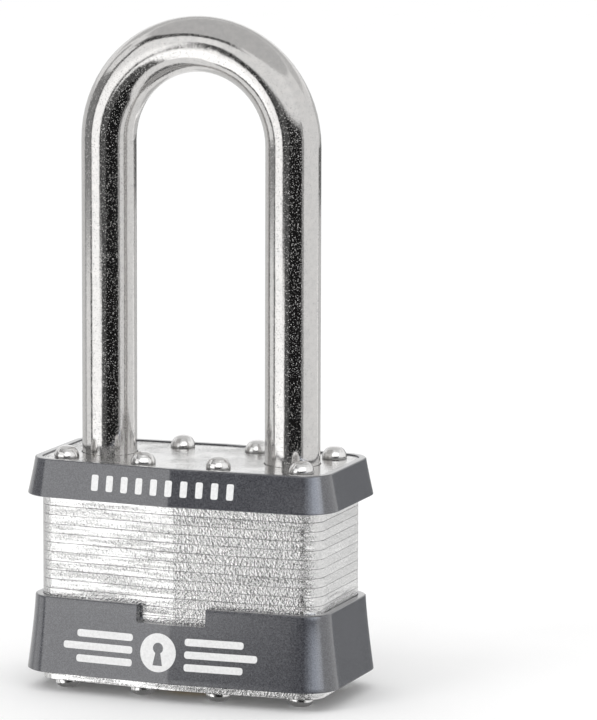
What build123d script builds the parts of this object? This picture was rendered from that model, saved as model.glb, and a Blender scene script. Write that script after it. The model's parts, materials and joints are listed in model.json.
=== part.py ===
from build123d import *
import math
import os

os.makedirs("parts", exist_ok=True)

# Laminated steel padlock with a long shackle and a four-pin cylinder, in millimetres.
# +Z up, -Y the front face, the two shackle legs on X. The origin is on the surface that the
# lock stands on, under the middle of the case, and it stands on its lower rivet heads.

# Case: a stack of equal steel plates
PLATE_COUNT = 24
PLATE_T = 1.6
CASE_HALF_W = 25.7
CASE_HALF_D = 12.6  # at the middle, where the front and the back come to a shallow ridge
SIDE_HALF_D = 11.2  # at the two side faces
CORNER_R = 3.4
PLATE_EDGE_R = 0.08

# Rivets through the whole stack, with domed heads on both ends
RIVET_R = 1.5
RIVET_HOLE_R = 1.52
RIVET_HEAD_R = 2.2
RIVET_HEAD_H = 1.7
INNER_RIVET_X, INNER_RIVET_Y = 6.9, 9.1
OUTER_RIVET_X, OUTER_RIVET_Y = 21.5, 8.0

CASE_BOTTOM = RIVET_HEAD_H
CASE_TOP = CASE_BOTTOM + PLATE_COUNT * PLATE_T

# Shackle: the long leg, the heel, is on the left (-X) and the short one, the toe, on the right
SHACKLE_R = 4.75
LEG_X = 16.85
CLEARANCE = 66.3  # from the top plate up to the inside of the bow
BOW_Z = CASE_TOP + CLEARANCE - (LEG_X - SHACKLE_R)
LEG_BORE_R = 4.9
HEEL_CLIP_X, HEEL_CLIP_SIZE = -LEG_X + 0.6, (12.6, 11.7)  # the plate that keeps the heel in
SHACKLE_LIFT = 12.0
HEEL_END = 9.0
TOE_END = 29.6
NOTCH_DEPTH = 1.75
NOTCH_GAP = 0.25
NECK_R = 2.9
NECK_BOTTOM, NECK_TOP = 12.0, 26.4

# Cylinder: brass shell and plug on a vertical axis, pins towards the back
PLUG_Y = -3.0
PLUG_R = 5.5
PLUG_BORE_R = 5.55
PLUG_FACE_R = 4.7
PLUG_TAIL_R = 3.0
RETAINER_R = 6.0
SHELL_R = 6.4
SHELL_HALF_W = 3.0
SHELL_BACK_Y = 10.0
SHELL_GAP = 0.05
PIN_COUNT = 4
PIN_PITCH = 3.8
FIRST_PIN_Z = 8.0
PIN_R = 1.3
CHAMBER_R = 1.35
CHAMBER_FLOOR = -1.0  # past the plug's axis, away from the pins
KEY_PIN_LENGTHS = (4.4, 5.2, 3.8, 4.8)
KEY_PIN_REACH = 5.3  # of each key pin's outer end from the plug's axis
DRIVER_END_Y = PLUG_Y + 5.56
DRIVER_LENGTH = 3.4
COVER_Y = 9.2
COVER_HALF_W = 1.65
KEYWAY_HALF_W = 0.85

# Locking levers: each turns on a back rivet, and the cam on the plug draws both inwards
LEVER_T = 3.1
LEVER_SWING = 11.5  # degrees from the drawn-in rest to full engagement
LEVER_HOLE_R = 1.56
LEVER_EYE_R = 2.2
CAM_HALF_LONG = 3.6
CAM_HALF_SHORT = 1.6
LEFT_LEVER_PLATE = 18  # the lower of the two plates that each lever shares
RIGHT_LEVER_PLATE = 20

# Bumpers: moulded bands round the top and the bottom of the case
BAND_GAP = 0.05
TOP_BAND = (33.9, 40.3)
LOW_BAND = (3.4, 16.4)
BAND_NOTCH_W, BAND_NOTCH_H = 12.6, 3.0

# Springs: (coil radius, wire radius, turns)
PIN_SPRING = (0.95, 0.16, 5)
LEVER_SPRING = (1.1, 0.2, 4)
SHACKLE_SPRING = (3.4, 0.4, 4)


def plate_z(number):
    """Underside of a plate, counted from 1 at the bottom."""
    return CASE_BOTTOM + (number - 1) * PLATE_T


def draw_footprint(grow):
    """The case outline seen from above, grown outwards by a distance."""
    slope = (CASE_HALF_D - SIDE_HALF_D) / CASE_HALF_W
    half_w = CASE_HALF_W + grow
    ridge = CASE_HALF_D + grow * math.hypot(1, slope)
    side = ridge - slope * half_w
    with BuildSketch(mode=Mode.PRIVATE) as outline:
        with BuildLine():
            Polyline(
                (0, -ridge), (half_w, -side), (half_w, side),
                (0, ridge), (-half_w, side), (-half_w, -side), close=True,
            )
        make_face()
        corners = outline.vertices().filter_by(lambda v: abs(v.X) > 1)
        fillet(corners, CORNER_R + grow)
    return outline.sketch


def export_node(part, name):
    part.label = name
    export_step(part, f"parts/{name}.step")


def coil(spring, length, seat):
    """A compression spring that fills a length along the seat's normal, from the seat up."""
    coil_r, wire_r, turns = spring
    height = length - 2 * wire_r - 0.04
    with BuildPart() as wire:
        with BuildLine() as path:
            Helix(pitch=height / turns, height=height, radius=coil_r)
        with BuildSketch(Plane(origin=path.line @ 0, z_dir=path.line % 0)):
            Circle(wire_r)
        sweep(path=path.line, is_frenet=True)
    with BuildPart() as spring_on_seat:
        with Locations(seat.offset(wire_r + 0.02)):
            add(wire.part)
    return spring_on_seat.part


rivet_spots = [
    (x, y)
    for x, y_size in (
        (-OUTER_RIVET_X, OUTER_RIVET_Y), (-INNER_RIVET_X, INNER_RIVET_Y),
        (INNER_RIVET_X, INNER_RIVET_Y), (OUTER_RIVET_X, OUTER_RIVET_Y),
    )
    for y in (-y_size, y_size)
]

# ---- Levers and their pockets ----------------------------------------------------------------
# The right lever is drawn about its rivet, as it stands when its nose is in the shackle's notch:
# the eye, the nose out to the leg, and the hook round the far side of the cam.
NOSE_X = LEG_X - SHACKLE_R + NOTCH_DEPTH - 0.15 - INNER_RIVET_X
lever_points = [
    (LEVER_EYE_R, 0), (NOSE_X - 0.5, -6.6), (NOSE_X, -7.4), (NOSE_X, -11.4), (NOSE_X - 2.2, -11.4),
    (0.0, -7.7), (-8.8, -7.7), (-8.8, -15.6), (-11.6, -15.6), (-11.6, -5.4), (-LEVER_EYE_R, -4.2),
    (-LEVER_EYE_R, 0),
]


def draw_lever(turn):
    """The right lever's outline about its rivet, turned clockwise."""
    with BuildSketch(Plane.XY.rotated((0, 0, -turn)), mode=Mode.PRIVATE) as outline:
        with BuildLine():
            Polyline(*lever_points, close=True)
        make_face()
        Circle(LEVER_EYE_R)
    return outline.sketch


def lever(side, number):
    """side is 1 for the lever that locks the right leg, -1 for its mirror image."""
    base = plate_z(number) + (2 * PLATE_T - LEVER_T) / 2
    with BuildPart() as blank:
        with BuildSketch(Plane.XY.offset(base)):
            with Locations((INNER_RIVET_X, INNER_RIVET_Y)):
                add(draw_lever(LEVER_SWING))
                Circle(LEVER_HOLE_R, mode=Mode.SUBTRACT)
        extrude(amount=LEVER_T)
        if side < 0:
            mirror(about=Plane.YZ, mode=Mode.REPLACE)
    return blank.part


POCKET_X = (-11.2, 13.5)
POCKET_Y = (-8.0, 7.4)
SPRING_SPOT_Y = -2.0
LEVER_SPRING_LENGTH = 3.65


def draw_pocket(side):
    """The space that a lever sweeps, with its rivet's eye and its spring."""
    with BuildSketch(mode=Mode.PRIVATE) as pocket:
        with Locations((sum(POCKET_X) / 2 * side, sum(POCKET_Y) / 2)):
            Rectangle(POCKET_X[1] - POCKET_X[0], POCKET_Y[1] - POCKET_Y[0])
        with Locations((INNER_RIVET_X * side, INNER_RIVET_Y)):
            Circle(LEVER_EYE_R + 0.2)
            Rectangle(2 * LEVER_EYE_R + 2.8, 6, align=(Align.CENTER, Align.MAX))
        for x in (-INNER_RIVET_X, INNER_RIVET_X):
            with Locations((x, -INNER_RIVET_Y)):
                Circle(RIVET_R + 0.9, mode=Mode.SUBTRACT)
    return pocket.sketch


# ---- Plates ----------------------------------------------------------------------------------
for number in range(1, PLATE_COUNT + 1):
    base = plate_z(number)
    with BuildPart() as plate:
        with BuildSketch(Plane.XY.offset(base)):
            add(draw_footprint(0))
            with Locations(*rivet_spots):
                Circle(RIVET_HOLE_R, mode=Mode.SUBTRACT)
        extrude(amount=PLATE_T)
        rims = [face.outer_wire().edges() for face in plate.faces().filter_by(Axis.Z)]
        fillet(rims[0] + rims[1], PLATE_EDGE_R)
        with BuildSketch(Plane.XY.offset(base)) as cutouts:
            if number == 1:
                with Locations((0, PLUG_Y)):
                    Circle(PLUG_FACE_R + 0.1)
            elif number <= 14:
                with Locations((0, PLUG_Y)):
                    Circle(SHELL_R + SHELL_GAP)
                with Locations((0, (PLUG_Y + SHELL_BACK_Y + SHELL_GAP) / 2)):
                    Rectangle(2 * (SHELL_HALF_W + SHELL_GAP), SHELL_BACK_Y + SHELL_GAP - PLUG_Y)
            elif number == 15:
                with Locations((0, PLUG_Y)):
                    Circle(RETAINER_R + 0.2)
            elif number <= 17:
                with Locations((0, PLUG_Y)):
                    Circle(PLUG_TAIL_R + 0.1)
            elif number < RIGHT_LEVER_PLATE:
                add(draw_pocket(-1))
            elif number < RIGHT_LEVER_PLATE + 2:
                add(draw_pocket(1))
            if number >= 3:
                with Locations((-LEG_X, 0)):
                    Circle(LEG_BORE_R)
            if number >= 18:
                with Locations((LEG_X, 0)):
                    Circle(LEG_BORE_R)
            if number == 15:
                with Locations((HEEL_CLIP_X, 0)):
                    Rectangle(HEEL_CLIP_SIZE[0] + 0.1, HEEL_CLIP_SIZE[1] + 0.1)
        if cutouts.faces():
            extrude(amount=PLATE_T, mode=Mode.SUBTRACT)
    export_node(plate.part, f"lamination_{number:02d}")

# ---- Rivets ----------------------------------------------------------------------------------
dome_r = (RIVET_HEAD_R**2 + RIVET_HEAD_H**2) / (2 * RIVET_HEAD_H)
half_way_x = dome_r * math.sin(math.asin(RIVET_HEAD_R / dome_r) / 2)
half_way_h = RIVET_HEAD_H - dome_r + math.sqrt(dome_r**2 - half_way_x**2)
with BuildPart() as rivet:
    with BuildSketch(Plane.XZ):
        with BuildLine():
            Polyline(
                (RIVET_HEAD_R, CASE_TOP), (RIVET_R, CASE_TOP),
                (RIVET_R, CASE_BOTTOM), (RIVET_HEAD_R, CASE_BOTTOM),
            )
            ThreePointArc(
                (RIVET_HEAD_R, CASE_BOTTOM), (half_way_x, CASE_BOTTOM - half_way_h), (0, 0)
            )
            Line((0, 0), (0, CASE_TOP + RIVET_HEAD_H))
            ThreePointArc(
                (0, CASE_TOP + RIVET_HEAD_H), (half_way_x, CASE_TOP + half_way_h),
                (RIVET_HEAD_R, CASE_TOP),
            )
        make_face()
    revolve(axis=Axis.Z)
with BuildPart() as rivets:
    with Locations(*rivet_spots):
        add(rivet.part)
export_node(rivets.part, "rivets")

# ---- Shackle ---------------------------------------------------------------------------------
left_notch_z = plate_z(LEFT_LEVER_PLATE)
right_notch_z = plate_z(RIGHT_LEVER_PLATE)
with BuildPart() as shackle:
    with BuildLine(Plane.XZ) as path:
        Line((-LEG_X, HEEL_END), (-LEG_X, BOW_Z))
        ThreePointArc((-LEG_X, BOW_Z), (0, BOW_Z + LEG_X), (LEG_X, BOW_Z))
        Line((LEG_X, BOW_Z), (LEG_X, TOE_END))
    with BuildSketch(Plane((-LEG_X, 0, HEEL_END))):
        Circle(SHACKLE_R)
    sweep(path=path.line)
    ends = shackle.faces().filter_by(Axis.Z).edges()
    chamfer(ends, 0.8)
    # the heel's neck, which keeps the shackle on its retainer
    with BuildSketch(Plane((-LEG_X, 0, NECK_BOTTOM))):
        Circle(SHACKLE_R + 1)
        Circle(NECK_R, mode=Mode.SUBTRACT)
    extrude(amount=NECK_TOP - NECK_BOTTOM, mode=Mode.SUBTRACT)
    # the lever notches, on the inner side of each leg
    for side, notch_z in ((-1, left_notch_z), (1, right_notch_z)):
        middle_x = side * (LEG_X - SHACKLE_R + NOTCH_DEPTH / 2 - 1)
        with BuildSketch(Plane((middle_x, 0, notch_z - NOTCH_GAP))):
            Rectangle(NOTCH_DEPTH + 2, 3 * SHACKLE_R)
        extrude(amount=2 * PLATE_T + 2 * NOTCH_GAP, mode=Mode.SUBTRACT)
export_node(shackle.part, "shackle")

with BuildPart() as heel_retainer:
    with BuildSketch(Plane.XY.offset(plate_z(15) + 0.05)) as retainer_plan:
        with Locations((HEEL_CLIP_X, 0)):
            Rectangle(*HEEL_CLIP_SIZE)
        with Locations((-LEG_X, 0)):
            Circle(NECK_R + 0.1, mode=Mode.SUBTRACT)
            Rectangle(10, 2 * NECK_R + 0.2, align=(Align.MIN, Align.CENTER), mode=Mode.SUBTRACT)
    extrude(amount=PLATE_T - 0.1)
export_node(heel_retainer.part, "heel_retainer")

spring_floor = Plane((-LEG_X, 0, plate_z(3)))
export_node(coil(SHACKLE_SPRING, HEEL_END - plate_z(3), spring_floor), "shackle_spring")

# ---- Cylinder --------------------------------------------------------------------------------
SHELL_Z = (plate_z(2) + SHELL_GAP, plate_z(15) - SHELL_GAP)
shell_length = SHELL_Z[1] - SHELL_Z[0]
pin_heights = [FIRST_PIN_Z + n * PIN_PITCH for n in range(PIN_COUNT)]
with BuildPart() as shell:
    with BuildSketch(Plane.XY.offset(SHELL_Z[0])):
        with Locations((0, PLUG_Y)):
            Circle(SHELL_R)
        with Locations((0, (PLUG_Y + SHELL_BACK_Y) / 2)):
            Rectangle(2 * SHELL_HALF_W, SHELL_BACK_Y - PLUG_Y)
        with Locations((0, PLUG_Y)):
            Circle(PLUG_BORE_R, mode=Mode.SUBTRACT)
        with Locations((0, COVER_Y)):
            Rectangle(
                2 * COVER_HALF_W + 0.1, 5, align=(Align.CENTER, Align.MIN), mode=Mode.SUBTRACT
            )
    extrude(amount=shell_length)
    with BuildSketch(Plane.XZ):
        with Locations(*[(0, z) for z in pin_heights]):
            Circle(CHAMBER_R)
    extrude(amount=-SHELL_BACK_Y, mode=Mode.SUBTRACT)
export_node(shell.part, "cylinder_shell")

with BuildPart() as cover:
    with BuildSketch(Plane.XY.offset(SHELL_Z[0] + 0.2)):
        with Locations((0, COVER_Y)):
            Rectangle(2 * COVER_HALF_W, 0.75, align=(Align.CENTER, Align.MIN))
    extrude(amount=shell_length - 0.4)
export_node(cover.part, "pin_chamber_cover")

# The plug stands turned a quarter from its home: its pins point to -X, its cam draws the levers in.
def plug_plane(z):
    return Plane(origin=(0, PLUG_Y, z), x_dir=(0, 1, 0), z_dir=(0, 0, 1))


def pin_plane(reach, z):
    """Square to a key pin's axis, at a distance from the plug's axis, facing outwards."""
    return Plane(origin=(-reach, PLUG_Y, z), z_dir=(-1, 0, 0))


PLUG_BACK = SHELL_Z[1]
TENON = 2.6
TENON_TOP = PLUG_BACK + 3.0
with BuildPart() as plug:
    with BuildSketch(plug_plane(SHELL_Z[0])):
        Circle(PLUG_R)
    extrude(amount=PLUG_BACK - SHELL_Z[0])
    with BuildSketch(Plane((0, PLUG_Y, CASE_BOTTOM + 0.2))):
        Circle(PLUG_FACE_R)
    extrude(amount=SHELL_Z[0] - CASE_BOTTOM - 0.2)
    for pin_z in pin_heights:
        with BuildSketch(pin_plane(CHAMBER_FLOOR, pin_z)):
            Circle(CHAMBER_R)
        extrude(amount=PLUG_R + 1, mode=Mode.SUBTRACT)
    with BuildSketch(plug_plane(CASE_BOTTOM)):
        with BuildLine():
            Polyline(
                (-KEYWAY_HALF_W, -4.2), (0.1, -4.2), (0.1, -2.4), (KEYWAY_HALF_W, -2.0),
                (KEYWAY_HALF_W, 2.6), (-0.1, 2.6), (-0.1, 0.9), (-KEYWAY_HALF_W, 0.5), close=True,
            )
        make_face()
    extrude(amount=PLUG_BACK - CASE_BOTTOM - 0.8, mode=Mode.SUBTRACT)
    with BuildSketch(Plane((0, PLUG_Y, PLUG_BACK))):
        Circle(PLUG_TAIL_R)
    extrude(amount=0.7)
    with BuildSketch(Plane((0, PLUG_Y, PLUG_BACK + 0.7))):
        Rectangle(TENON, TENON)
    extrude(amount=TENON_TOP - PLUG_BACK - 0.7)
export_node(plug.part, "plug")

with BuildPart() as plug_retainer:
    with BuildSketch(Plane((0, PLUG_Y, PLUG_BACK + 0.1))):
        Circle(RETAINER_R)
        Circle(PLUG_TAIL_R + 0.03, mode=Mode.SUBTRACT)
        Rectangle(8, 2.2, align=(Align.MIN, Align.CENTER), mode=Mode.SUBTRACT)
    extrude(amount=0.6)
export_node(plug_retainer.part, "plug_retainer")

CAM_BASE = PLUG_BACK + 0.75
CAM_TOP = plate_z(RIGHT_LEVER_PLATE + 2) - 0.1
LOBE_BASE = plate_z(LEFT_LEVER_PLATE) + 0.05
with BuildPart() as cam:
    with BuildSketch(Plane((0, PLUG_Y, CAM_BASE))):
        Circle(PLUG_TAIL_R)
    extrude(amount=LOBE_BASE - CAM_BASE)
    with BuildSketch(Plane((0, PLUG_Y, LOBE_BASE))):
        Ellipse(CAM_HALF_LONG, CAM_HALF_SHORT)
    extrude(amount=CAM_TOP - LOBE_BASE)
    with BuildSketch(Plane((0, PLUG_Y, CAM_BASE))):
        Rectangle(TENON + 0.06, TENON + 0.06)
    extrude(amount=TENON_TOP - CAM_BASE + 0.2, mode=Mode.SUBTRACT)
export_node(cam.part, "cam")

for number, (pin_z, length) in enumerate(zip(pin_heights, KEY_PIN_LENGTHS), 1):
    with BuildPart() as key_pin:
        with BuildSketch(pin_plane(KEY_PIN_REACH - length, pin_z)):
            Circle(PIN_R)
        extrude(amount=length)
        chamfer(key_pin.faces().sort_by(Axis.X)[-1].edges(), 0.8)
        fillet(key_pin.faces().sort_by(Axis.X)[0].edges(), 0.2)
    export_node(key_pin.part, f"key_pin_{number}")

    with BuildPart() as driver_pin:
        with BuildSketch(Plane((0, DRIVER_END_Y, pin_z), z_dir=(0, 1, 0))):
            Circle(PIN_R)
        extrude(amount=DRIVER_LENGTH)
        chamfer(driver_pin.faces().filter_by(Axis.Y).edges(), 0.2)
    export_node(driver_pin.part, f"driver_pin_{number}")

    seat = Plane((0, DRIVER_END_Y + DRIVER_LENGTH, pin_z), z_dir=(0, 1, 0))
    export_node(coil(PIN_SPRING, COVER_Y - seat.origin.Y, seat), f"pin_spring_{number}")

# ---- Levers and their springs ----------------------------------------------------------------
for side, number, name in ((1, RIGHT_LEVER_PLATE, "right"), (-1, LEFT_LEVER_PLATE, "left")):
    export_node(lever(side, number), f"{name}_lever")
    middle_z = plate_z(number) + PLATE_T
    wall = Plane((side * POCKET_X[0], SPRING_SPOT_Y, middle_z), z_dir=(side, 0, 0))
    export_node(coil(LEVER_SPRING, LEVER_SPRING_LENGTH, wall), f"{name}_lever_spring")

# ---- Bumpers ---------------------------------------------------------------------------------
def band(low, high, flare):
    """A moulded ring round the case. flare lists (share of the height, stand-off from it)."""
    with BuildPart() as ring:
        for share, stand_off in flare:
            with BuildSketch(Plane.XY.offset(low + share * (high - low))):
                add(draw_footprint(stand_off))
        loft()
        with BuildSketch(Plane.XY.offset(low)):
            add(draw_footprint(BAND_GAP))
        extrude(amount=high - low, mode=Mode.SUBTRACT)
        fillet(ring.faces().sort_by(Axis.Z)[-1].outer_wire().edges(), 0.3)
    return ring


top_band = band(*TOP_BAND, [(0, 2.6), (0.25, 2.15), (0.6, 1.65), (1, 1.3)])
export_node(top_band.part, "top_bumper")

low_ring = band(*LOW_BAND, [(0, 2.8), (0.25, 2.3), (0.6, 1.7), (1, 1.35)])
with BuildPart() as low_band:
    add(low_ring.part)
    with BuildSketch(Plane.XZ):
        with Locations((0, LOW_BAND[1])):
            Rectangle(BAND_NOTCH_W, 2 * BAND_NOTCH_H)
    extrude(amount=CASE_HALF_D + 10, both=True, mode=Mode.SUBTRACT)
export_node(low_band.part, "bottom_bumper")
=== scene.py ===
"""A laminated steel padlock with a long shackle, on a plain pale floor."""

import json
import math
import random

import bmesh
import bpy
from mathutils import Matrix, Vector, noise


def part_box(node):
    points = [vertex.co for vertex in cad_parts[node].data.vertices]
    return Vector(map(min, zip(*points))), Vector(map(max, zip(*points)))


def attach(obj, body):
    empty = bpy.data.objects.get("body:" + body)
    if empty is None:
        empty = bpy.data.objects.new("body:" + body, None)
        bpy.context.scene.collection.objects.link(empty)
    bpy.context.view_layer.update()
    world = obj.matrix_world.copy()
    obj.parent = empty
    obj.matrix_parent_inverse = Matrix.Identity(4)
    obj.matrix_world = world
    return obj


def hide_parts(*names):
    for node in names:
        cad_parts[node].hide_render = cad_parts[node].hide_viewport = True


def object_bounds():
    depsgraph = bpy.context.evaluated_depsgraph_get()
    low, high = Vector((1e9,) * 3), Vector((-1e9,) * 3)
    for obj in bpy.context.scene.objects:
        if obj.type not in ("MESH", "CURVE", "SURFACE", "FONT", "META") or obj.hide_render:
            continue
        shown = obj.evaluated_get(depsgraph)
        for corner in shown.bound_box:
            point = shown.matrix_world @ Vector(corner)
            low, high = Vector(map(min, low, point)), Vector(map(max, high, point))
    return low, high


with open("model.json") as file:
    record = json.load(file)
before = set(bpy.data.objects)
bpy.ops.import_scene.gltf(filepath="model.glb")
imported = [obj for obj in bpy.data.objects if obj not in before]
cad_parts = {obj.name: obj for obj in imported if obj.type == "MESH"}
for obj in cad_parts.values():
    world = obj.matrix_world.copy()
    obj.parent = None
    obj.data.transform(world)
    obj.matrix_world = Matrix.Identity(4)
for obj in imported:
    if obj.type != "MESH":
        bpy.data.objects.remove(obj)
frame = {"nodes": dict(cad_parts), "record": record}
cad_low, cad_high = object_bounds()
nodes = frame["nodes"]
subparts = frame["record"]["subparts"]

MM = 0.001

# ---- The case outline, seen from above -------------------------------------------------------
plate_low, plate_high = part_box("lamination_01")
CASE_BOTTOM, CASE_TOP = plate_low.z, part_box("lamination_24")[1].z
PLATE_T = plate_high.z - plate_low.z
HALF_W, HALF_D = plate_high.x, plate_high.y
SIDE_HALF_D = 11.2 * MM
CORNER_R = 3.4 * MM
SLOPE = (HALF_D - SIDE_HALF_D) / HALF_W
SLOPE_ANGLE = math.atan(SLOPE)

# where the points of a front slope stand along it, closer together beside the ridge
SLOPE_SHARES = [0.0, 0.012, 0.05] + [n / 16 for n in range(2, 16)]
ARC_STEPS, SIDE_STEPS = 12, 5


def quarter(grow):
    """Front right quarter of the outline, from the front ridge to the middle of the right side."""
    radius = CORNER_R + grow
    half_w = HALF_W + grow
    ridge = HALF_D + grow / math.cos(SLOPE_ANGLE)
    centre_x = HALF_W - CORNER_R
    centre_y = -(ridge - SLOPE * centre_x - radius / math.cos(SLOPE_ANGLE))
    arc = []
    for n in range(ARC_STEPS + 1):
        angle = SLOPE_ANGLE + (math.pi / 2 - SLOPE_ANGLE) * n / ARC_STEPS
        arc.append(Vector((centre_x + radius * math.sin(angle), centre_y - radius * math.cos(angle))))
    ridge_point = Vector((0.0, -ridge))
    side_start, side_middle = Vector((half_w, centre_y)), Vector((half_w, 0.0))
    slope = [ridge_point.lerp(arc[0], share) for share in SLOPE_SHARES]
    side = [side_start.lerp(side_middle, (n + 1) / SIDE_STEPS) for n in range(SIDE_STEPS)]
    return slope + arc + side


def outline(grow):
    """The whole outline, anticlockwise from the front ridge."""
    front_right = quarter(grow)
    right = front_right + [Vector((p.x, -p.y)) for p in reversed(front_right[:-1])]
    left = [Vector((-p.x, p.y)) for p in reversed(right[1:-1])]
    return right + left


def front_y(x, grow):
    """Depth of the front face at a place across it."""
    return -(HALF_D + grow / math.cos(SLOPE_ANGLE) - SLOPE * abs(x))


# ---- Shape and mesh helpers ------------------------------------------------------------------
ROUNDING_STEPS, CURVE_STEPS = 5, 4


def rounded_profile(corners):
    """A closed line through (across, up, radius) corners, each rounded by its own radius."""
    points = []
    count = len(corners)
    for n, (across, up, radius) in enumerate(corners):
        here = Vector((across, up))
        if radius <= 0:
            points.append(here)
            continue
        before = Vector(corners[n - 1][:2])
        after = Vector(corners[(n + 1) % count][:2])
        to_before = (before - here).normalized()
        to_after = (after - here).normalized()
        half = to_before.angle(to_after) / 2
        # the rounding takes less than half of the shorter side
        longest = 0.48 * min((before - here).length, (after - here).length)
        reach = min(radius / math.tan(half), longest)
        start, end = here + to_before * reach, here + to_after * reach
        for k in range(ROUNDING_STEPS + 1):
            t = k / ROUNDING_STEPS
            points.append(start.lerp(here, t).lerp(here.lerp(end, t), t))
    return points


def circle(radius, sides, centre=(0.0, 0.0)):
    points = []
    for n in range(sides):
        angle = math.tau * n / sides
        points.append(Vector((centre[0] + radius * math.cos(angle), centre[1] + radius * math.sin(angle))))
    return points


def between(a, b, c, d, t):
    """A value on a smooth curve from b to c. a comes before b, and d after c."""
    square = 2 * a - 5 * b + 4 * c - d
    cube = 3 * b - a - 3 * c + d
    return (2 * b + (c - a) * t + square * t**2 + cube * t**3) / 2


def smooth_curve(points):
    """Points along a smooth curve through the given ones, up to the last, which it leaves out."""
    curve = []
    for n in range(len(points) - 1):
        before, here = points[max(n - 1, 0)], points[n]
        after, beyond = points[n + 1], points[min(n + 2, len(points) - 1)]
        for k in range(CURVE_STEPS):
            t = k / CURVE_STEPS
            curve.append(tuple(between(a, b, c, d, t) for a, b, c, d in zip(before, here, after, beyond)))
    return curve


def make_object(name, data):
    piece = bpy.data.objects.new(name, data)
    bpy.context.scene.collection.objects.link(piece)
    return piece


def mesh_from(name, verts, faces):
    mesh = bpy.data.meshes.new(name)
    mesh.from_pydata([tuple(v) for v in verts], [], faces)
    mesh.validate()
    bm = bmesh.new()
    bm.from_mesh(mesh)
    bmesh.ops.recalc_face_normals(bm, faces=bm.faces)
    bm.to_mesh(mesh)
    bm.free()
    return mesh


def smooth(mesh, sharp_above):
    """Smooth shading, but for edges that turn by more than an angle in degrees."""
    mesh.shade_smooth()
    mesh.set_sharp_from_angle(angle=math.radians(sharp_above))


def baked_mesh(piece):
    """An object's mesh with its modifiers applied, or a curve's filled mesh."""
    depsgraph = bpy.context.evaluated_depsgraph_get()
    return bpy.data.meshes.new_from_object(piece.evaluated_get(depsgraph))


def bake(piece):
    mesh = baked_mesh(piece)
    piece.modifiers.clear()
    piece.data = mesh


# ---- Node materials --------------------------------------------------------------------------
class Graph:
    """A short way to write a material's nodes."""

    def __init__(self, name):
        self.material = bpy.data.materials.new(name)
        self.material.use_nodes = True
        self.tree = self.material.node_tree
        self.shader = self.tree.nodes["Principled BSDF"]
        self.place = self.add("ShaderNodeTexCoord").outputs["Object"]

    def add(self, kind, inputs=None, **settings):
        node = self.tree.nodes.new(kind)
        for key, value in settings.items():
            setattr(node, key, value)
        for key, value in (inputs or {}).items():
            self.put(node.inputs[key], value)
        return node

    def put(self, socket, value):
        if isinstance(value, bpy.types.NodeSocket):
            self.tree.links.new(value, socket)
        else:
            socket.default_value = value

    def squeezed(self, times):
        """The object's own place with its height squeezed: above 1 the grain runs level, below 1 upright."""
        return self.add("ShaderNodeMapping", {"Vector": self.place, "Scale": (1.0, 1.0, times)}).outputs[0]

    def noise(self, size, detail, rough, vector=None):
        """Noise of about a size in metres."""
        inputs = {"Vector": vector or self.place, "Scale": 1 / size, "Detail": detail, "Roughness": rough}
        return self.add("ShaderNodeTexNoise", inputs).outputs["Fac"]

    def upward(self, vector):
        return self.add("ShaderNodeSeparateXYZ", {0: vector}).outputs["Z"]

    def math(self, operation, a, b=0.0):
        return self.add("ShaderNodeMath", {0: a, 1: b}, operation=operation).outputs[0]

    def remap(self, value, low, high, to_low, to_high):
        inputs = {0: value, 1: low, 2: high, 3: to_low, 4: to_high}
        return self.add("ShaderNodeMapRange", inputs).outputs[0]

    def mix(self, factor, a, b):
        node = self.add("ShaderNodeMix", data_type="RGBA")
        self.put(node.inputs["Factor"], factor)
        self.put(node.inputs["A"], a)
        self.put(node.inputs["B"], b)
        return node.outputs["Result"]

    def bump(self, height, distance, strength, normal=None):
        inputs = {"Height": height, "Distance": distance, "Strength": strength}
        if normal:
            inputs["Normal"] = normal
        return self.add("ShaderNodeBump", inputs).outputs[0]

    def set(self, **values):
        for key, value in values.items():
            self.put(self.shader.inputs[key.replace("_", " ")], value)
        return self.material


def grey(value, warm=0.0):
    """A grey, a little warm above 0 and a little cool below."""
    return (value * (1 + warm), value, value * (1 - warm), 1.0)


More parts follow.
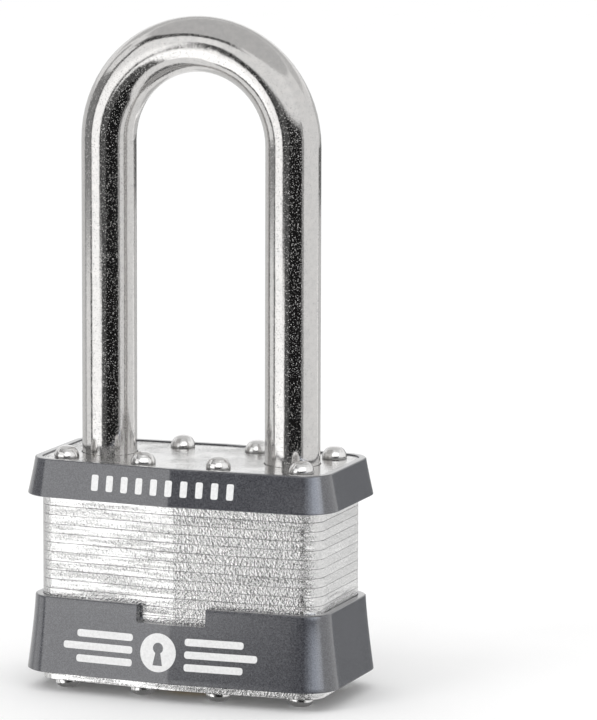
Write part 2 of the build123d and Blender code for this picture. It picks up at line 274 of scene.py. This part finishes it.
def zinc_material():
    """Zinc plates, each leaning its own way, with painted shade in the seams between them, scratches and
    torn rows.
    """
    g = Graph("zinc_plate")
    upright = g.math("ABSOLUTE", g.upward(g.add("ShaderNodeNewGeometry").outputs["Normal"]))
    upright = g.remap(upright, 0.8, 0.95, 1, 0)
    # plates are counted from just above a seam, so that a plate's own top isn't on the border of two
    first_seam = CASE_BOTTOM + 0.02 * MM
    level = g.math("DIVIDE", g.math("SUBTRACT", g.upward(g.place), first_seam), PLATE_T)
    share = g.math("FRACT", level)
    number = g.math("FLOOR", level)
    plate_random = g.add("ShaderNodeTexWhiteNoise", {"W": number}, noise_dimensions="1D").outputs["Value"]
    lean = g.math("MULTIPLY", share, g.remap(plate_random, 0, 1, -0.9, 0.9))

    shear = g.noise(4 * MM, 4, 0.65, g.squeezed(16.0))
    scratches = g.noise(2.2 * MM, 3, 0.6, g.squeezed(11.0))
    grain = g.noise(0.42 * MM, 2, 0.6)
    torn_rows = g.remap(g.noise(9 * MM, 3, 0.6, g.squeezed(13.0)), 0.42, 0.60, 0.5, 2.2)
    torn = g.math("MULTIPLY", g.math("SUBTRACT", grain, 0.5), torn_rows)
    blotch = g.noise(3.5 * MM, 4, 0.6)
    base = g.mix(g.remap(grain, 0.3, 0.7, 0, 1), grey(0.67, 0.004), grey(0.78, 0.006))
    base = g.mix(g.remap(scratches, 0.62, 0.74, 0, 0.28), base, grey(0.42, -0.015))

    # painted shade: darker in the seams between the plates, patchy along them, on upright faces only
    to_edge = g.math("MINIMUM", share, g.math("SUBTRACT", 1.0, share))
    seam_shade_patchiness = g.remap(g.noise(5 * MM, 4, 0.75, g.squeezed(5.0)), 0.42, 0.62, 0.05, 0.6)
    seam = g.math("MULTIPLY", g.remap(to_edge, 0.015, 0.06, 1, 0), seam_shade_patchiness)
    base = g.mix(g.math("MULTIPLY", seam, upright), base, grey(0.25, 0.02))
    normal = g.bump(lean, 0.12 * MM, upright)
    normal = g.bump(shear, 0.10 * MM, g.remap(upright, 0, 1, 0.1, 0.42), normal)
    normal = g.bump(torn, 0.12 * MM, g.remap(upright, 0, 1, 0.45, 1.0), normal)
    rough = g.remap(blotch, 0.3, 0.7, 0.06, 0.10)
    return g.set(Base_Color=base, Metallic=1.0, Roughness=rough, Normal=normal)


def rivet_material():
    """Beaten zinc, with painted shade at the foot of a head, where it meets the plate."""
    g = Graph("zinc_rivet")
    dents = g.noise(1.6 * MM, 3, 0.5)
    grain = g.noise(0.3 * MM, 4, 0.7)
    rise = g.add("ShaderNodeAttribute", attribute_name="rise").outputs["Fac"]
    base = g.mix(g.remap(dents, 0.35, 0.65, 0, 1), grey(0.74, 0.01), grey(0.88, 0.01))
    # painted shade at the foot of a head, where it meets the plate
    base = g.mix(g.remap(rise, 0.02, 0.2, 0.8, 0), base, grey(0.16, 0.01))
    rough = g.remap(grain, 0.3, 0.7, 0.12, 0.26)
    normal = g.bump(grain, 0.04 * MM, 0.3, g.bump(dents, 0.12 * MM, 0.4))
    return g.set(Base_Color=base, Metallic=1.0, Roughness=rough, Normal=normal)


def shackle_material():
    """Plated steel over a slightly wavy bar, with fine grain and specks."""
    g = Graph("plated_shackle")
    sand = g.noise(0.35 * MM, 3, 0.6)
    waves = g.noise(4 * MM, 2, 0.5, g.squeezed(0.35))
    pits = g.noise(1.1 * MM, 3, 0.55)
    specks = g.remap(g.noise(0.19 * MM, 2, 0.5), 0.63, 0.75, 0, 1)
    base = g.mix(g.remap(pits, 0.35, 0.62, 0, 1), grey(0.62, 0.015), grey(0.66, 0.02))
    rough = g.remap(sand, 0.3, 0.7, 0.08, 0.15)
    normal = g.bump(waves, 0.12 * MM, 0.35)
    normal = g.bump(sand, 0.03 * MM, 0.22, normal)
    normal = g.bump(specks, 0.04 * MM, 0.8, normal)
    return g.set(Base_Color=base, Metallic=1.0, Roughness=rough, Normal=normal)


def bumper_material():
    """Dark plastic with fine metal flakes under a clear skin."""
    g = Graph("flaked_plastic")
    flakes = g.add("ShaderNodeTexVoronoi", {"Vector": g.place, "Scale": 1 / (0.14 * MM)})
    sparkle = g.add("ShaderNodeSeparateColor", {0: flakes.outputs["Color"]}).outputs[0]
    drift = g.noise(0.3 * MM, 3, 0.6)
    cloud = g.noise(6 * MM, 3, 0.5)
    base = g.mix(g.remap(sparkle, 0.2, 1.0, 0, 1), (0.034, 0.035, 0.043, 1), (0.098, 0.100, 0.112, 1))
    base = g.mix(g.remap(drift, 0.35, 0.65, 0, 0.3), base, (0.055, 0.057, 0.067, 1))
    rough = g.remap(cloud, 0.3, 0.7, 0.16, 0.21)
    normal = g.bump(drift, 0.03 * MM, 0.2)
    g.set(Base_Color=base, Metallic=0.0, Roughness=rough, Normal=normal, IOR=1.75)
    orange_peel = g.bump(g.noise(0.9 * MM, 2, 0.5), 0.03 * MM, 0.2)
    return g.set(Coat_Weight=1.0, Coat_Roughness=0.17, Coat_Normal=orange_peel)


def mark_material():
    g = Graph("white_mark")
    speck = g.noise(0.4 * MM, 3, 0.6)
    base = g.mix(g.remap(speck, 0.3, 0.7, 0, 1), grey(0.72), grey(0.86))
    rough = g.remap(speck, 0.3, 0.7, 0.35, 0.5)
    return g.set(Base_Color=base, Roughness=rough, Normal=g.bump(speck, 0.04 * MM, 0.4))


def metal_material(name, color, size, roughness):
    """A machined inner metal with turning marks of a size."""
    g = Graph(name)
    turning = g.noise(size, 3, 0.6, g.squeezed(6.0))
    grain = g.noise(size * 0.3, 3, 0.6)
    darker = tuple(c * 0.78 for c in color) + (1.0,)
    base = g.mix(g.remap(grain, 0.35, 0.65, 0, 1), darker, color + (1.0,))
    rough = g.remap(turning, 0.3, 0.7, *roughness)
    return g.set(Base_Color=base, Metallic=1.0, Roughness=rough, Normal=g.bump(turning, 0.05 * MM, 0.4))


def floor_material():
    g = Graph("pale_floor")
    speck = g.noise(20 * MM, 2, 0.5)
    base = g.mix(g.remap(speck, 0.3, 0.7, 0, 1), grey(0.98), grey(0.99))
    return g.set(Base_Color=base, Roughness=0.6, Specular_IOR_Level=0.0)


rivet_metal = rivet_material()
plastic = bumper_material()
white_mark = mark_material()
by_slot = {
    "plate_steel": zinc_material(),
    "rivet_steel": rivet_metal,
    "shackle_steel": shackle_material(),
    "bumper_plastic": plastic,
    "cylinder_brass": metal_material("machined_brass", (0.80, 0.60, 0.28), 0.8 * MM, (0.2, 0.34)),
    "spring_steel": metal_material("spring_wire", (0.52, 0.52, 0.53), 0.5 * MM, (0.25, 0.4)),
    "inner_steel": metal_material("inner_steel", (0.55, 0.55, 0.55), 0.9 * MM, (0.28, 0.42)),
}
for subpart in subparts:
    mesh = nodes[subpart["node"]].data
    mesh.materials.clear()
    mesh.materials.append(by_slot[subpart["material_slot"]])


# ---- Bumpers ---------------------------------------------------------------------------------
# how far a face stands off the plates at its top edge and at its low edge, and the power of the
# hollow curve between them
TOP_FACE = (1.3 * MM, 2.6 * MM, 1.1)
LOW_FACE = (1.35 * MM, 2.8 * MM, 1.3)
FACE_STEPS = 14
BAND_GAP = 0.06 * MM
OUTER_TOP_R, OUTER_LOW_R = 0.32 * MM, 0.16 * MM
INNER_TOP_R, INNER_LOW_R = 0.12 * MM, 0.10 * MM


def stand_off(share, top_off, low_off, power):
    """How far a bumper's face stands off the plates, a share of the way down it."""
    return top_off + (low_off - top_off) * share ** power


def ring(name, profile):
    """Sweeps a closed profile of (stand-off, height) round the case outline."""
    loops = [outline(p.x) for p in profile]
    around = len(loops[0])
    verts = [(q.x, q.y, p.y) for p, loop in zip(profile, loops) for q in loop]
    faces = []
    for j in range(len(profile)):
        k = (j + 1) % len(profile)
        for i in range(around):
            m = (i + 1) % around
            faces.append((j * around + i, j * around + m, k * around + m, k * around + i))
    return mesh_from(name, verts, faces)


def band(node, face):
    """A bumper: its face hollows outwards from the top edge to the low edge."""
    low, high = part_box(node)
    top_off, low_off, _ = face
    corners = [(BAND_GAP, high.z, INNER_TOP_R), (top_off, high.z, OUTER_TOP_R)]
    for n in range(1, FACE_STEPS):
        share = n / FACE_STEPS
        corners.append((stand_off(share, *face), high.z - share * (high.z - low.z), 0))
    corners += [(low_off, low.z, OUTER_LOW_R), (BAND_GAP, low.z, INNER_LOW_R)]
    profile = rounded_profile(corners)
    piece = make_object(node + "_band", ring(node + "_band", profile))
    piece.data.materials.append(plastic)
    return piece


top_band = band("top_bumper", TOP_FACE)
low_band = band("bottom_bumper", LOW_FACE)

# the notch in the low bumper's upper edge, front and back
NOTCH_HALF_W, NOTCH_H, NOTCH_R = 6.3 * MM, 3.0 * MM, 0.5 * MM
band_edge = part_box("bottom_bumper")[1].z
notch_foot = band_edge - NOTCH_H
cutter_top = band_edge + 2 * MM
cutter_reach = HALF_D + 8 * MM
notch_line = rounded_profile([
    (-NOTCH_HALF_W, cutter_top, 0), (-NOTCH_HALF_W, notch_foot, NOTCH_R),
    (NOTCH_HALF_W, notch_foot, NOTCH_R), (NOTCH_HALF_W, cutter_top, 0),
])
count = len(notch_line)
cutter_verts = [(p.x, y, p.y) for y in (-cutter_reach, cutter_reach) for p in notch_line]
cutter_faces = [tuple(range(count)), tuple(range(2 * count - 1, count - 1, -1))]
cutter_faces += [(i, (i + 1) % count, count + (i + 1) % count, count + i) for i in range(count)]
cutter = make_object("notch_cutter", mesh_from("notch_cutter", cutter_verts, cutter_faces))
cut = low_band.modifiers.new("notch", "BOOLEAN")
cut.operation, cut.object, cut.solver = "DIFFERENCE", cutter, "EXACT"
bake(low_band)
bpy.data.objects.remove(cutter)
for piece, node in ((top_band, "top_bumper"), (low_band, "bottom_bumper")):
    smooth(piece.data, 30)
    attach(piece, "case")
    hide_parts(node)


# ---- Rivets with heads peened by hand tools --------------------------------------------------
HEAD_R, SHANK_R = 2.2 * MM, 1.5 * MM
UPPER_H, LOWER_H = 2.05 * MM, CASE_BOTTOM
# a head's side, as shares of its radius and of its height, from the plate to near its tip
UPPER_HEAD = [
    (1.0, 0.0), (1.01, 0.12), (0.975, 0.32), (0.87, 0.55), (0.70, 0.76), (0.47, 0.91), (0.23, 0.98),
]
LOWER_HEAD = [
    (0.90, 0.0), (0.98, 0.16), (0.98, 0.45), (0.89, 0.74), (0.70, 0.92), (0.42, 0.985), (0.2, 0.997),
]
RIVET_SIDES = 40
# how far a head leans and swells, and how deep and how far out its rim is chipped
LEAN, SWELL = 0.06, 0.07
CHIP, CHIPPED_FROM = 0.035, 0.7
# where two of the rivets stand, which the others mirror
END_RIVET, MIDDLE_RIVET = (21.5 * MM, 8.0 * MM), (6.9 * MM, 9.1 * MM)


def bridge(bm, inner, outer):
    """Joins two rings of points with faces."""
    for k in range(RIVET_SIDES):
        m = (k + 1) % RIVET_SIDES
        bm.faces.new((inner[k], inner[m], outer[m], outer[k]))


def rivet_head(bm, rise, spot, face_z, head_h, shape, dice):
    """Adds a beaten head, a little uneven, and returns the ring where it meets the shank."""
    x, y = spot
    seed = Vector((dice.uniform(0, 50), dice.uniform(0, 50), 0))
    lean_x, lean_y = dice.uniform(-LEAN, LEAN), dice.uniform(-LEAN, LEAN)
    rings = []
    for share_r, share_h in [(SHANK_R / HEAD_R, 0.0)] + smooth_curve(shape):
        rings.append([])
        for k in range(RIVET_SIDES):
            angle = math.tau * k / RIVET_SIDES
            ray = Vector((math.cos(angle), math.sin(angle), 0))
            beaten = 1 + SWELL * share_h * noise.noise(seed + ray * 0.9)
            if share_r > CHIPPED_FROM:
                beaten -= CHIP * (1 + noise.noise(seed + ray * 2.2))
            r = HEAD_R * share_r * beaten
            across = r * math.cos(angle) + share_h * lean_x * HEAD_R
            along = r * math.sin(angle) + share_h * lean_y * HEAD_R
            vert = bm.verts.new((x + across, y + along, face_z + head_h * share_h))
            vert[rise] = share_h
            rings[-1].append(vert)
    tip = bm.verts.new((x + lean_x * HEAD_R, y + lean_y * HEAD_R, face_z + head_h))
    tip[rise] = 1.0
    for inner, outer in zip(rings, rings[1:]):
        bridge(bm, inner, outer)
    for k in range(RIVET_SIDES):
        bm.faces.new((rings[-1][k], rings[-1][(k + 1) % RIVET_SIDES], tip))
    return rings[0]


def rivet_mesh(name, spots):
    """Solid rivets: a round shank with a beaten head at each end."""
    dice = random.Random(7)
    bm = bmesh.new()
    rise = bm.verts.layers.float.new("rise")
    for spot in spots:
        low_ring = rivet_head(bm, rise, spot, CASE_BOTTOM, -LOWER_H, LOWER_HEAD, dice)
        high_ring = rivet_head(bm, rise, spot, CASE_TOP, UPPER_H, UPPER_HEAD, dice)
        bridge(bm, low_ring, high_ring)
    bmesh.ops.recalc_face_normals(bm, faces=bm.faces)
    mesh = bpy.data.meshes.new(name)
    bm.to_mesh(mesh)
    bm.free()
    smooth(mesh, 50)
    return mesh


rivet_spots = [
    (side_x * x, side_y * y)
    for x, y in (END_RIVET, MIDDLE_RIVET) for side_x in (-1, 1) for side_y in (-1, 1)
]
peened = make_object("peened_rivets", rivet_mesh("peened_rivets", rivet_spots))
peened.data.materials.append(rivet_metal)
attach(peened, "case")
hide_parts("rivets")


# ---- Plain marks on the bumpers --------------------------------------------------------------
MARK_PROUD, MARK_SUNK = 0.06 * MM, 0.02 * MM
# the marks are cut into strips of this height, so that they can follow a hollow face
STRIP_H = 0.6 * MM


def capsule(centre_x, centre_z, width, height, radius):
    """A rounded bar's outline."""
    half_w, half_h = width / 2, height / 2
    corners = [(x * half_w, z * half_h, radius) for x, z in ((-1, -1), (1, -1), (1, 1), (-1, 1))]
    return [Vector((centre_x + p.x, centre_z + p.y)) for p in rounded_profile(corners)]


def keyhole(centre_x, centre_z, radius):
    """A round hole over a flared slot."""
    arc_start, arc_turn, steps = math.radians(-60), math.radians(300), 24
    slot_half_w, slot_foot = 0.95 * radius, centre_z - 3.1 * radius
    points = []
    for n in range(steps + 1):
        angle = arc_start + arc_turn * n / steps
        points.append(Vector((centre_x + radius * math.cos(angle), centre_z + radius * math.sin(angle))))
    points += [Vector((centre_x - slot_half_w, slot_foot)), Vector((centre_x + slot_half_w, slot_foot))]
    return points


def filled(name, outlines):
    """A flat mesh of closed outlines. One inside another is a hole in it."""
    curve = bpy.data.curves.new(name, "CURVE")
    curve.dimensions, curve.fill_mode = "2D", "BOTH"
    for points in outlines:
        spline = curve.splines.new("POLY")
        spline.points.add(len(points) - 1)
        for target, p in zip(spline.points, points):
            target.co = (p.x / MM, p.y / MM, 0, 1)
        spline.use_cyclic_u = True
    flat = make_object(name + "_flat", curve)
    mesh = baked_mesh(flat)
    bpy.data.objects.remove(flat)
    return mesh


def mark(name, outlines, node, face):
    """A flat figure of closed outlines, laid on the hollow front of a bumper and made solid."""
    low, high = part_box(node)
    mesh = filled(name, outlines)
    bm = bmesh.new()
    bm.from_mesh(mesh)
    bmesh.ops.scale(bm, vec=(MM, MM, MM), verts=bm.verts)
    bmesh.ops.remove_doubles(bm, verts=bm.verts, dist=0.001 * MM)
    foot = min(v.co.y for v in bm.verts)
    strips = int((max(v.co.y for v in bm.verts) - foot) / STRIP_H)
    cuts = [((0, 0, 0), (1, 0, 0))]
    cuts += [((0, foot + STRIP_H * n, 0), (0, 1, 0)) for n in range(1, strips + 1)]
    for point, direction in cuts:
        everything = bm.verts[:] + bm.edges[:] + bm.faces[:]
        bmesh.ops.bisect_plane(bm, geom=everything, plane_co=point, plane_no=direction)
    for v in bm.verts:
        x, z = v.co.x, v.co.y
        off = stand_off(max(0.0, (high.z - z) / (high.z - low.z)), *face)
        v.co = Vector((x, front_y(x, off) + MARK_SUNK, z))
    bmesh.ops.recalc_face_normals(bm, faces=bm.faces)
    if sum(f.normal.y for f in bm.faces) > 0:
        bmesh.ops.reverse_faces(bm, faces=bm.faces)
    bm.to_mesh(mesh)
    bm.free()
    piece = make_object(name, mesh)
    solid = piece.modifiers.new("thickness", "SOLIDIFY")
    solid.thickness, solid.offset = MARK_PROUD, 1.0
    bake(piece)
    piece.data.materials.clear()
    piece.data.materials.append(white_mark)
    smooth(piece.data, 40)
    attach(piece, "case")


BAR_COUNT, BAR_PITCH = 10, 2.75 * MM
BAR_W, BAR_H, BAR_R = 1.25 * MM, 2.7 * MM, 0.35 * MM
BARS_MIDDLE_X, BARS_Z = -1.5 * MM, 37.0 * MM
bars = [
    capsule(BARS_MIDDLE_X + (n - (BAR_COUNT - 1) / 2) * BAR_PITCH, BARS_Z, BAR_W, BAR_H, BAR_R)
    for n in range(BAR_COUNT)
]
mark("top_bumper_bars", bars, "top_bumper", TOP_FACE)

BADGE_X, BADGE_Z, BADGE_R = -2.0 * MM, 8.6 * MM, 3.3 * MM
KEYHOLE_R, KEYHOLE_RISE = 0.95 * MM, 0.75 * MM
STRIPE_H, STRIPE_R, STRIPE_PITCH = 1.25 * MM, 0.55 * MM, 2.15 * MM
LONG_STRIPE, SHORT_STRIPE, STRIPES_START = 13.0 * MM, 10.5 * MM, BADGE_R + 1.5 * MM
badge = [circle(BADGE_R, 40, (BADGE_X, BADGE_Z)), keyhole(BADGE_X, BADGE_Z + KEYHOLE_RISE, KEYHOLE_R)]
for side in (-1, 1):
    for row, length in ((-1, SHORT_STRIPE), (0, LONG_STRIPE), (1, SHORT_STRIPE)):
        stripe_x = BADGE_X + side * (STRIPES_START + length / 2)
        badge.append(capsule(stripe_x, BADGE_Z + row * STRIPE_PITCH, length, STRIPE_H, STRIPE_R))
mark("bottom_bumper_badge", badge, "bottom_bumper", LOW_FACE)

# ---- Floor and world -------------------------------------------------------------------------
scene = bpy.context.scene
scene.view_settings.view_transform = "Standard"

FLOOR_R, FLOOR_SIDES = 4.0, 64
floor_verts = [(p.x, p.y, 0) for p in circle(FLOOR_R, FLOOR_SIDES)]
floor = make_object("floor", mesh_from("floor", floor_verts, [tuple(range(FLOOR_SIDES))]))
floor.data.materials.append(floor_material())
floor.location.z = cad_low.z
floor.visible_glossy = False

WHITE = (1.0, 1.0, 1.0)
scene.world = bpy.data.worlds.new("studio")
scene.world.use_nodes = True
background = scene.world.node_tree.nodes["Background"]
background.inputs["Color"].default_value = (*WHITE, 1.0)
background.inputs["Strength"].default_value = 1.0


# ---- Studio cards and lamps that only reflections see ----------------------------------------
# azimuths are in degrees from straight in front towards the right, and lengths are in metres
CARD_R = 0.4
NEARER, NEAREST = CARD_R - 0.005, CARD_R - 0.015
LAMP_R = CARD_R * 0.9
PANEL_STEPS, DISC_SIDES = 30, 48


def reflected_only(piece):
    """Hides a card or a lamp from everything but reflections."""
    for ray in ("camera", "diffuse", "transmission", "shadow", "volume_scatter"):
        setattr(piece, "visible_" + ray, False)


def card(name, verts, faces, cover, strength):
    """A glowing card. cover is how solid each point of it is."""
    mesh = mesh_from(name, verts, faces)
    mesh.attributes.new("cover", "FLOAT", "POINT").data.foreach_set("value", cover)
    piece = make_object(name, mesh)
    material = bpy.data.materials.new(name)
    material.use_nodes = True
    tree = material.node_tree
    tree.nodes.clear()
    glow = tree.nodes.new("ShaderNodeEmission")
    glow.inputs["Color"].default_value = (*WHITE, 1.0)
    glow.inputs["Strength"].default_value = strength
    solid = tree.nodes.new("ShaderNodeAttribute")
    solid.attribute_name = "cover"
    clear = tree.nodes.new("ShaderNodeBsdfTransparent")
    blend = tree.nodes.new("ShaderNodeMixShader")
    output = tree.nodes.new("ShaderNodeOutputMaterial")
    tree.links.new(solid.outputs["Fac"], blend.inputs[0])
    tree.links.new(clear.outputs[0], blend.inputs[1])
    tree.links.new(glow.outputs[0], blend.inputs[2])
    tree.links.new(blend.outputs[0], output.inputs["Surface"])
    piece.data.materials.append(material)
    reflected_only(piece)


def panel(name, azimuths, heights, strength, radius=CARD_R, fade=(0.0, 0.0)):
    """A curved card round the object. fade softens its ends, in degrees, and its edges, in metres."""
    first, last = azimuths
    low, high = heights
    end_fade, edge_fade = fade
    rows = [(low, 1.0), (high, 1.0)]
    if edge_fade:
        rows = [(low, 0.0), (low + edge_fade, 1.0), (high - edge_fade, 1.0), (high, 0.0)]
    verts, cover = [], []
    for n in range(PANEL_STEPS + 1):
        azimuth = first + (last - first) * n / PANEL_STEPS
        a = math.radians(azimuth)
        to_end = min(azimuth - first, last - azimuth)
        end_cover = min(1.0, to_end / end_fade) if end_fade else 1.0
        for z, row_cover in rows:
            verts.append((radius * math.sin(a), -radius * math.cos(a), z))
            cover.append(row_cover * end_cover)
    count = len(rows)
    faces = [
        (count * n + m, count * (n + 1) + m, count * (n + 1) + m + 1, count * n + m + 1)
        for n in range(PANEL_STEPS) for m in range(count - 1)
    ]
    card(name, verts, faces, cover, strength)


def disc(name, z, radius, strength):
    """A flat round card over or under the object."""
    verts = [(p.x, p.y, z) for p in circle(radius, DISC_SIDES)]
    card(name, verts, [tuple(range(DISC_SIDES))], [1.0] * DISC_SIDES, strength)


def aim(lamp, point):
    lamp.rotation_euler = (Vector(point) - lamp.location).to_track_quat("-Z", "Y").to_euler()


def glint(name, receivers, azimuth, height, size, energy, tint=WHITE):
    """A soft lamp that only the receivers reflect."""
    light = bpy.data.lights.new(name, "AREA")
    light.shape, light.energy, light.color = "RECTANGLE", energy, tint
    light.size, light.size_y = size
    lamp = make_object(name, light)
    a = math.radians(azimuth)
    lamp.location = (LAMP_R * math.sin(a), -LAMP_R * math.cos(a), height)
    aim(lamp, (0, 0, 0.02))
    reflected_only(lamp)
    seen_by = bpy.data.collections.new(name)
    for receiver in receivers:
        seen_by.objects.link(receiver)
    lamp.light_linking.receiver_collection = seen_by


# upright cards, for the shackle and the plates: azimuths, heights, strength
FRONT, SHORT, BELOW_CASE = (-0.35, 0.38), (-0.35, 0.17), (-0.35, -0.016)
panel("bright_card", (-56.3, -12.5), FRONT, 1.1)
panel("brighter_card", (-56.3, -12.5), (-0.35, 0.20), 1.42, CARD_R - 0.002, fade=(0.0, 0.06))
panel("brightest_card", (-56.3, -13.9), BELOW_CASE, 1.72, NEARER, fade=(0.0, 0.01))
panel("plate_edge_card", (-13.9, -12.4), BELOW_CASE, 0.06, NEARER, fade=(0.0, 0.01))
panel("thin_dark_card", (-64.5, -56.3), FRONT, 0.12)
panel("side_card", (-100, -90), FRONT, 0.5)
panel("far_left_card", (-150, -101), SHORT, 0.72)
panel("grey_card", (-12.5, 10), SHORT, 0.09, fade=(0.0, 0.04))
panel("dark_card", (6, 60), SHORT, 0.012, NEARER, fade=(2.0, 0.04))
panel("half_dark_card", (60, 66), SHORT, 0.3)
panel("right_card", (66, 152), (-0.35, 0.75), 0.92)
panel("far_right_card", (152, 188), SHORT, 0.62)
panel("edge_card", (-21.5, -12.4), (0.015, 0.2), 0.015, NEARER, fade=(0.0, 0.012))
# the ceiling, its dark border in front and the upper wall behind
panel("border_card", (-80, 8), (0.37, 0.48), 0.05, NEARER, fade=(12.0, 0.0))
disc("ceiling_card", 0.47, NEAREST, 0.62)
panel("back_card", (120, 250), (0.27, 0.47), 0.62, fade=(0.0, 0.03))
# what the sides of the bumpers see, and the underside
panel("bumper_side_card", (146, 188), (-0.07, 0.07), 0.14, NEAREST, fade=(0.0, 0.008))
panel("bumper_left_card", (-100, -62), (0.022, 0.24), 0.25, NEAREST, fade=(0.0, 0.02))
disc("under_card", -0.012, 0.045, 0.16)

# lamps: receivers, azimuth, height, size, energy. Five in a row light the bumpers' right front corner
bands = (top_band, low_band)
plates = [nodes[s["node"]] for s in subparts if s["material_slot"] == "plate_steel"]
ROW_START, ROW_PITCH, ROW_ENERGIES = 26, 12, (0.023, 0.056, 0.096, 0.1, 0.066)
COOL, COOLER = (0.9, 0.94, 1.0), (0.82, 0.88, 1.0)
for n, energy in enumerate(ROW_ENERGIES):
    glint(f"bumper_glint_{n}", bands, ROW_START + ROW_PITCH * n, 0.085, (0.078, 0.17), energy, COOLER)
glint("bumper_side_glint", bands, 166, 0.03, (0.3, 0.2), 0.024, COOL)
glint("rivet_glint", [peened], 25, 0.24, (0.55, 0.5), 0.65)
glint("plate_glint", plates, 38, -0.03, (0.35, 0.10), 0.185)
glint("side_glint", plates + [nodes["shackle"]], 165, -0.03, (0.3, 0.14), 0.07)

# ---- Key lamp and camera ---------------------------------------------------------------------
key = bpy.data.lights.new("key", "AREA")
key.shape, key.size, key.energy = "DISK", 0.6, 3.0
key_lamp = make_object("key", key)
key_lamp.location = (-0.5, -0.9, 1.1)
key_lamp.visible_glossy = False
aim(key_lamp, (0, 0, 0.05))

AZIMUTH, ELEVATION = math.radians(21.72), math.radians(8.465)
DISTANCE, TARGET = 0.8625, Vector((0, 0, 0.0602))
camera_data = bpy.data.cameras.new("camera")
camera_data.lens = 252.3
camera_data.shift_x, camera_data.shift_y = 0.136, -0.026
camera_data.clip_start = 0.01
camera = make_object("camera", camera_data)
to_camera = Vector((
    math.sin(AZIMUTH) * math.cos(ELEVATION), -math.cos(AZIMUTH) * math.cos(ELEVATION), math.sin(ELEVATION),
))
camera.location = TARGET + to_camera * DISTANCE
camera.rotation_euler = to_camera.to_track_quat("Z", "Y").to_euler()
scene.camera = camera
